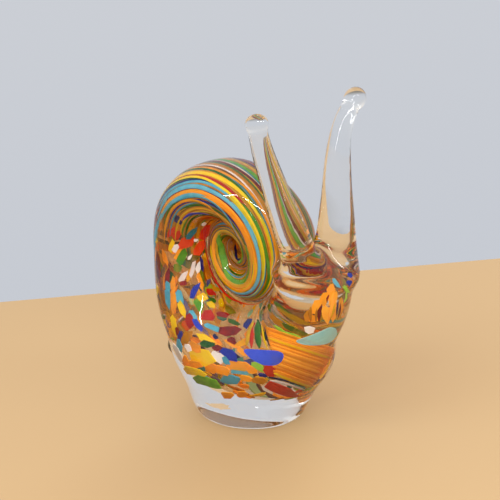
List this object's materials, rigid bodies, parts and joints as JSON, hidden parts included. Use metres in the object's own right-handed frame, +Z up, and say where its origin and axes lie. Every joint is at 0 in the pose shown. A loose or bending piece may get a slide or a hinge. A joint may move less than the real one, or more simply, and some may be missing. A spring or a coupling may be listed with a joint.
{
  "type": "snail figurine",
  "caption": "Solid hot-worked glass snail ornament with a coiled multicolour shell, clear flat-based foot and tall clear tentacles tipped with beads.",
  "frame": {"origin": "centre of the flat base of the foot", "axes": "+X forward towards the head, +Z up, +Y to the snail's left along the axis of the coil"},
  "size_m": [0.097, 0.0671, 0.1436],
  "materials": {
    "clear_glass": "fire-polished, clear",
    "amber_glass": "amber, cloudy, cased in clear",
    "orange_glass": "opaque coloured glass, cased in clear",
    "yellow_glass": "opaque coloured glass, cased in clear",
    "sky_blue_glass": "opaque coloured glass, cased in clear",
    "cobalt_glass": "opaque coloured glass, cased in clear",
    "green_glass": "opaque coloured glass, cased in clear",
    "red_glass": "opaque coloured glass, cased in clear",
    "white_glass": "opaque coloured glass, cased in clear"
  },
  "bodies": {
    "root": {"casing": "clear_glass", "foot": "clear_glass", "head": "clear_glass", "tentacle_left": "clear_glass", "tentacle_right": "clear_glass", "eye_bead_left": "clear_glass", "eye_bead_right": "clear_glass", "tail_nub": "clear_glass", "amber_core": "amber_glass", "chips_orange": "orange_glass", "chips_yellow": "yellow_glass", "chips_sky_blue": "sky_blue_glass", "chips_cobalt": "cobalt_glass", "chips_green": "green_glass", "chips_red": "red_glass", "chips_white": "white_glass", "streaks_orange": "orange_glass", "streaks_yellow": "yellow_glass", "streaks_sky_blue": "sky_blue_glass", "streaks_cobalt": "cobalt_glass", "streaks_green": "green_glass", "streaks_red": "red_glass", "streaks_white": "white_glass"}
  },
  "joints": []
}
